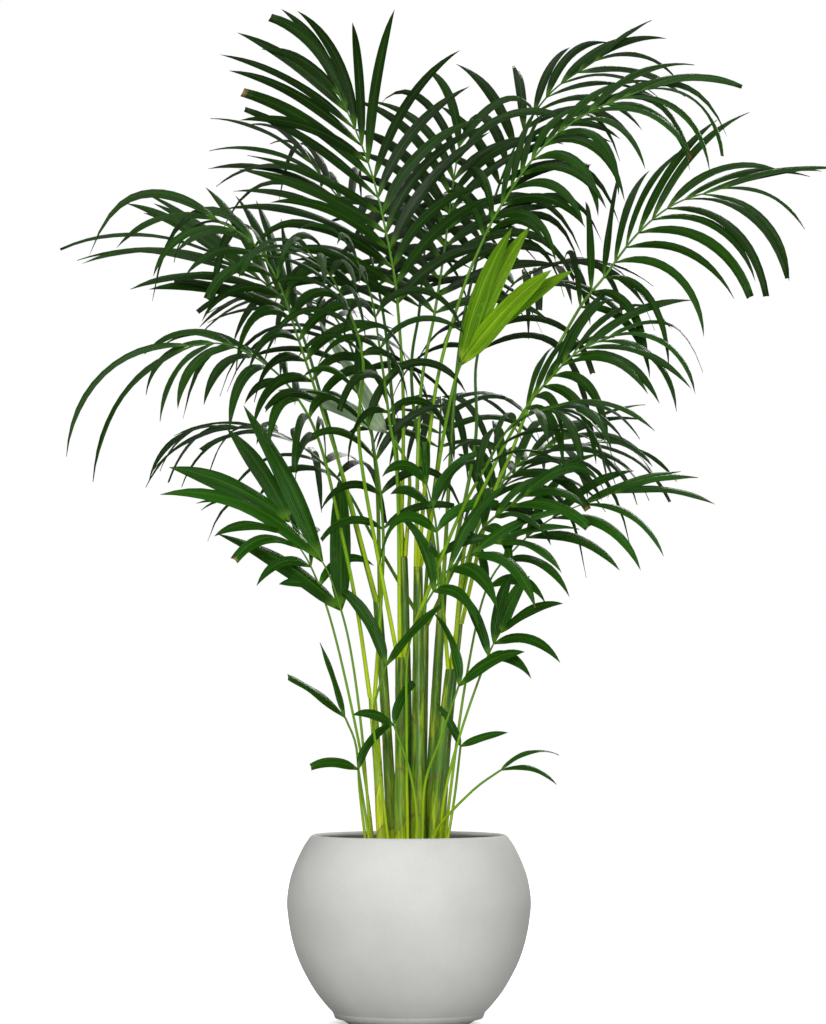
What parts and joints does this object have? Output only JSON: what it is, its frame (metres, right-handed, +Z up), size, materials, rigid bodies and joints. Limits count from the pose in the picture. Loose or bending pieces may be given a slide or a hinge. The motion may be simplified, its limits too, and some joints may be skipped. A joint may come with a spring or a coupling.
{
  "type": "potted palm",
  "caption": "Indoor feather palm with many slender arching fronds, standing in its grow pot inside a round open planter.",
  "frame": {"origin": "centre of the planter's underside, on the floor", "axes": "+Z up along the planter's axis; +Y away from the viewer of the main view; +X to that viewer's right"},
  "size_m": [1.3765, 1.1969, 1.8118],
  "materials": {
    "planter": "matt light-grey fibre clay, slightly grainy",
    "nursery_pot": "thin black moulded plastic, satin",
    "potting_mix": "dark loose potting mix of bark and peat",
    "stem_lime": "living yellow-green leaf sheath, satin",
    "stem_green": "living green cane wrapped in leaf sheaths, satin",
    "leaf_dark": "living dark-green palm leaf, satin",
    "leaf_young": "living mid-green young palm leaf, satin",
    "leaf_new": "living bright yellow-green new leaf, satin",
    "leaf_pale": "pale underside of a living leaf, matt"
  },
  "bodies": {
    "root": {"frond_back_centre": "leaf_dark", "frond_back_left": "leaf_dark", "frond_back_left_low": "leaf_dark", "frond_back_mid": "leaf_dark", "frond_back_right": "leaf_dark", "frond_back_right_low": "leaf_dark", "frond_centre_front": "leaf_dark", "frond_centre_inner": "leaf_young", "frond_centre_leaf": "leaf_young", "frond_centre_tiny": "leaf_young", "frond_front_left": "leaf_dark", "frond_front_right": "leaf_dark", "frond_front_right_young": "leaf_young", "frond_left_inner": "leaf_dark", "frond_left_low_droop": "leaf_young", "frond_left_lower": "leaf_dark", "frond_left_tiny_mid": "leaf_young", "frond_left_tiny_upper": "leaf_young", "frond_left_upper_back": "leaf_dark", "frond_left_upper_front": "leaf_dark", "frond_left_young": "leaf_young", "frond_pale_leaf": "leaf_pale", "frond_right_big": "leaf_dark", "frond_right_broad": "leaf_young", "frond_right_fan_low": "leaf_young", "frond_right_inner": "leaf_dark", "frond_right_low": "leaf_young", "frond_right_low_pair": "leaf_young", "frond_right_lowest": "leaf_young", "frond_right_mid": "leaf_dark", "frond_right_tiny_pair": "leaf_young", "frond_top_left": "leaf_dark", "frond_top_left_back": "leaf_dark", "frond_top_mid": "leaf_dark", "frond_top_right_back": "leaf_dark", "frond_top_right_front": "leaf_dark", "frond_young_spear": "leaf_new", "nursery_pot": "nursery_pot", "planter": "planter", "soil": "potting_mix", "stem_a": "stem_lime", "stem_b": "stem_green", "stem_c": "stem_green", "stem_d": "stem_green", "stem_e": "stem_green", "stem_f": "stem_green", "stem_g": "stem_green", "stem_h": "stem_green", "stem_i": "stem_green"}
  },
  "joints": []
}
